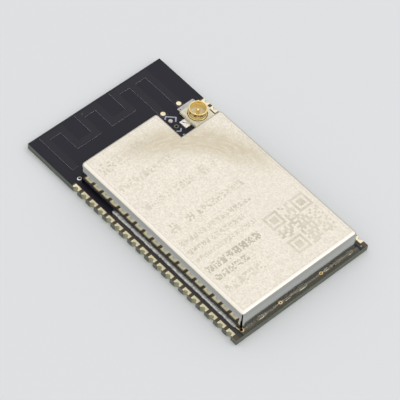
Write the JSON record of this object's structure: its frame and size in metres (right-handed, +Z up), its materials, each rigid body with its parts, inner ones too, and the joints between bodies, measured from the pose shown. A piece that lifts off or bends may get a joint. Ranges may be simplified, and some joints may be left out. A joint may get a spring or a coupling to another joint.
{
  "type": "wifi module",
  "caption": "Flat radio module: castellated board with a printed antenna at one end, a notched shield can over its circuits and a micro coaxial antenna receptacle in the notch.",
  "frame": {"origin": "middle of the board at the underside of its solder lands", "axes": "+X across the board to the receptacle's side, +Y along it to the antenna end, +Z up through the can"},
  "size_m": [0.018, 0.0314, 0.0033],
  "materials": {
    "laminate": "cut glass-fibre laminate, olive",
    "solder_mask": "satin black solder mask",
    "gold_land": "thin matt gold plating on copper",
    "ink": "thin white marking ink",
    "shield_metal": "satin nickel silver sheet, mirror-like on its sides",
    "solder": "reflowed solder",
    "base_plastic": "cream moulded plastic",
    "barrel_gold": "bright gold plating",
    "chip_resin": "black moulding resin",
    "lead_metal": "tinned copper",
    "crystal_ceramic": "fired ceramic",
    "crystal_metal": "nickel plated lid",
    "capacitor_ceramic": "fired ceramic",
    "resistor_glaze": "black glaze",
    "coil_ceramic": "fired ceramic",
    "end_metal": "tin plating"
  },
  "bodies": {
    "root": {"laminate": "laminate", "top_mask": "solder_mask", "bottom_mask": "solder_mask", "edge_contacts_left": "gold_land", "edge_contacts_right": "gold_land", "antenna_trace": "gold_land", "thermal_pad_grid": "gold_land", "ground_strip": "gold_land", "plated_holes": "gold_land", "receptacle_lands": "gold_land", "component_lands": "gold_land", "marking_ink": "ink", "shield_solder": "solder", "shield_can": "shield_metal", "receptacle_base": "base_plastic", "receptacle_barrel": "barrel_gold", "receptacle_pin": "barrel_gold", "receptacle_solder": "solder", "processor_body": "chip_resin", "processor_contacts": "lead_metal", "flash_body": "chip_resin", "flash_leads": "lead_metal", "memory_body": "chip_resin", "memory_leads": "lead_metal", "crystal_base": "crystal_ceramic", "crystal_lid": "crystal_metal", "capacitor_bodies": "capacitor_ceramic", "capacitor_ends": "end_metal", "resistor_bodies": "resistor_glaze", "resistor_ends": "end_metal", "coil_bodies": "coil_ceramic", "coil_ends": "end_metal"}
  },
  "joints": []
}
